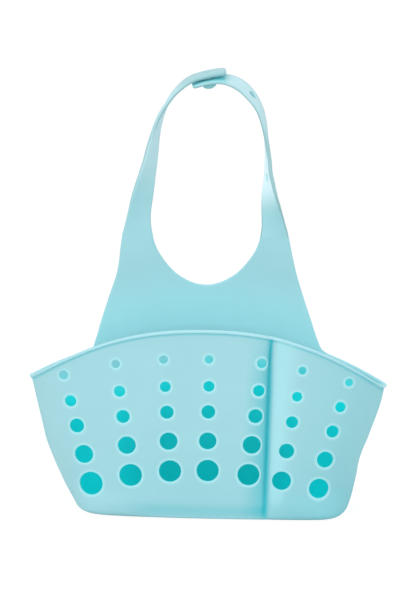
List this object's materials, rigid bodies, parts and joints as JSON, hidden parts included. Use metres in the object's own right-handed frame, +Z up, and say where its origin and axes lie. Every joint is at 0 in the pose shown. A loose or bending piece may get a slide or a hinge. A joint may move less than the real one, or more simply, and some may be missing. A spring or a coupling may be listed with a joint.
{
  "type": "sink drain basket",
  "caption": "Soft perforated pocket that hangs on a tap by a buttoned strap loop and drains through its front wall and floor.",
  "frame": {"origin": "middle of the floor's underside, under the middle of the pocket from side to side", "axes": "+Z up to the top of the loop, +X to the viewer's right, -Y out of the bowed front wall"},
  "size_m": [0.2002, 0.0588, 0.2438],
  "materials": {
    "soft_moulding": "matt, slightly translucent aqua soft moulding",
    "rolled_lip": "satin aqua, the same moulding rolled to a smooth lip",
    "stud": "smooth satin aqua button"
  },
  "bodies": {
    "basket": {"front_wall": "soft_moulding", "floor": "soft_moulding", "back_wall": "soft_moulding", "front_rim": "rolled_lip", "left_rear_rim": "rolled_lip", "right_rear_rim": "rolled_lip"},
    "hanger": {"yoke": "soft_moulding", "left_arm": "soft_moulding", "right_arm": "soft_moulding"},
    "stud_end": {"stud_end_strap": "soft_moulding", "snap_stud": "stud"},
    "hole_end": {"hole_end_strap": "soft_moulding"}
  },
  "joints": [
    {"name": "hanger_lean", "type": "hinge", "parent": "basket", "child": "hanger", "pos_m": [0, 0.0229, 0.09], "axis": [1, 0, 0], "range_deg": [-60, 60], "stiffness_Nm_per_rad": 0.1},
    {"name": "stud_end_open", "type": "hinge", "parent": "hanger", "child": "stud_end", "pos_m": [-0.0272, 0.0229, 0.219], "axis": [0, -1, 0], "range_deg": [0, 70]},
    {"name": "hole_end_drop", "type": "hinge", "parent": "hanger", "child": "hole_end", "pos_m": [0.0272, 0.0229, 0.219], "axis": [0, -1, 0], "range_deg": [0, 24.5]}
  ],
  "couplings": [
    {"joint": "hole_end_drop", "follows": "stud_end_open", "ratio": 0.35}
  ]
}
